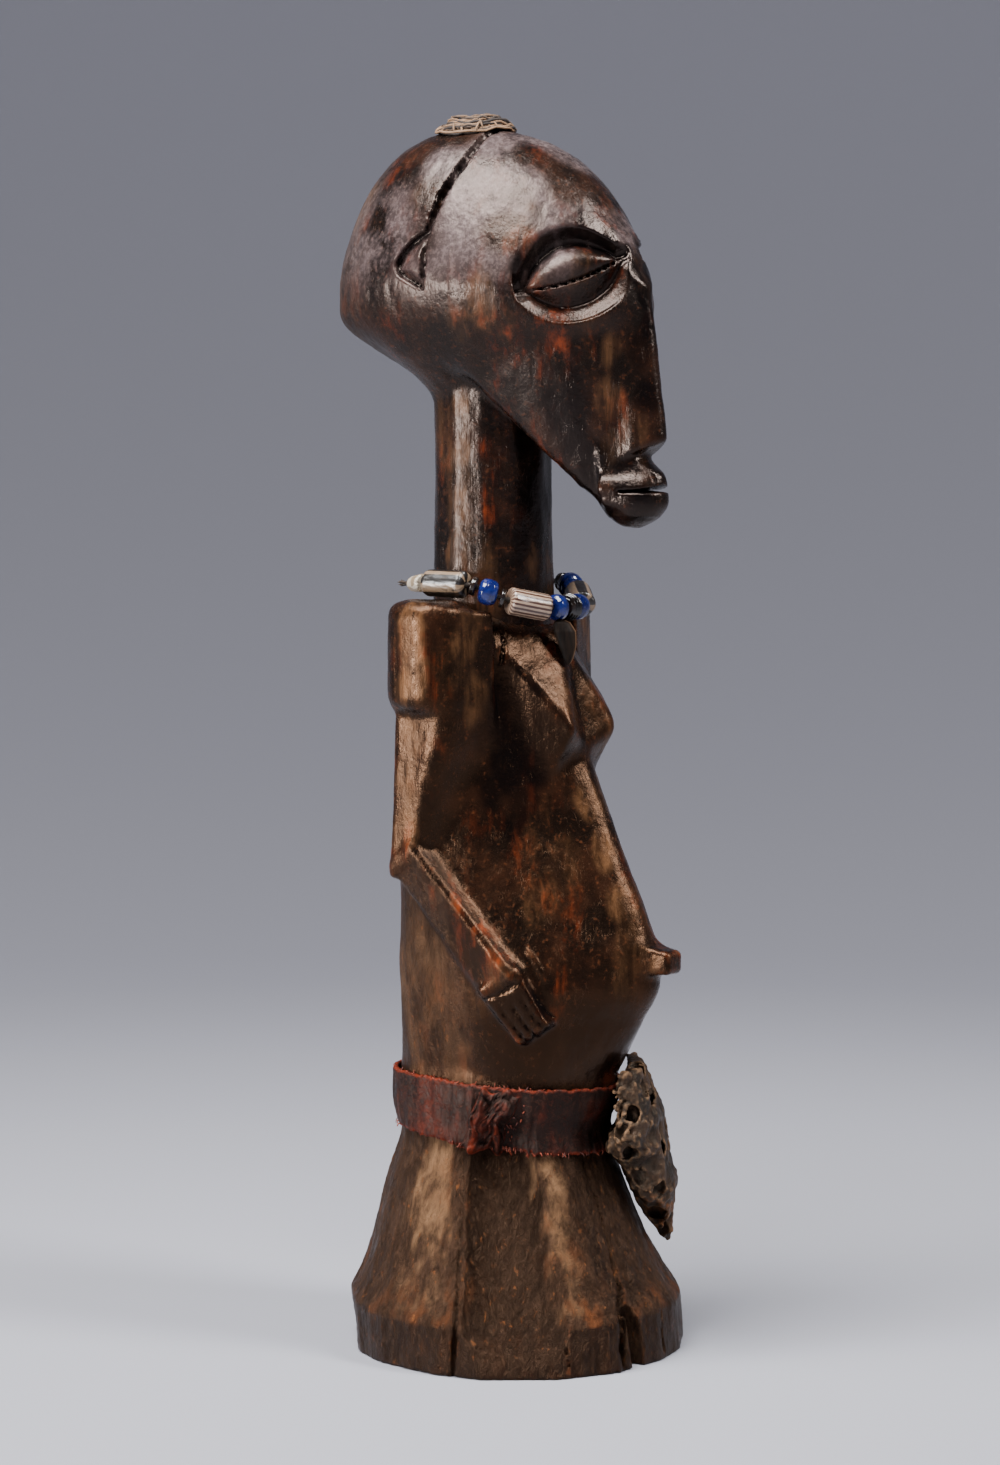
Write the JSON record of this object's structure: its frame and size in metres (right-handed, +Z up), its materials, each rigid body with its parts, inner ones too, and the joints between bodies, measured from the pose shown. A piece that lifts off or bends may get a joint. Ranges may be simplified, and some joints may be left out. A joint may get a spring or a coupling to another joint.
{
  "type": "carved wooden power figure",
  "caption": "Standing carved wooden figure on a flared skirt base, with arms beside a pointed belly, a bead necklace, a leather belt and a hanging hide pendant.",
  "frame": {"origin": "centre of the round underside of the base, at floor level", "axes": "+Z up along the figure, -Y towards the face and belly, +X towards the figure's left hand"},
  "size_m": [0.1132, 0.1321, 0.4211],
  "materials": {
    "carved_wood": "dark oiled patina, glossy on the high places, worn red-brown on the edges",
    "fibre": "matt packed fibre",
    "belt_leather": "worn dark red-brown leather with orange edges",
    "hide": "dry knobbly hide",
    "cord": "dark twisted cord",
    "bone": "dull cream bone",
    "striped_glass": "opaque striped glass, worn",
    "blue_glass": "deep blue glossy glass",
    "dark_bead": "black satin",
    "horn": "dark horn with a paler edge"
  },
  "bodies": {
    "root": {"figure": "carved_wood", "crown_packing": "fibre", "belt": "belt_leather", "hide_pendant": "hide", "necklace_cord": "cord", "bone_bead": "bone", "striped_bead_1": "striped_glass", "disc_bead_1": "dark_bead", "blue_bead_1": "blue_glass", "disc_bead_2": "dark_bead", "striped_bead_2": "striped_glass", "blue_bead_2": "blue_glass", "coiled_bead": "dark_bead", "blue_bead_3": "blue_glass", "disc_bead_3": "dark_bead", "striped_bead_3": "striped_glass", "blue_bead_4": "blue_glass", "disc_bead_4": "dark_bead", "horn_pendant": "horn"}
  },
  "joints": []
}
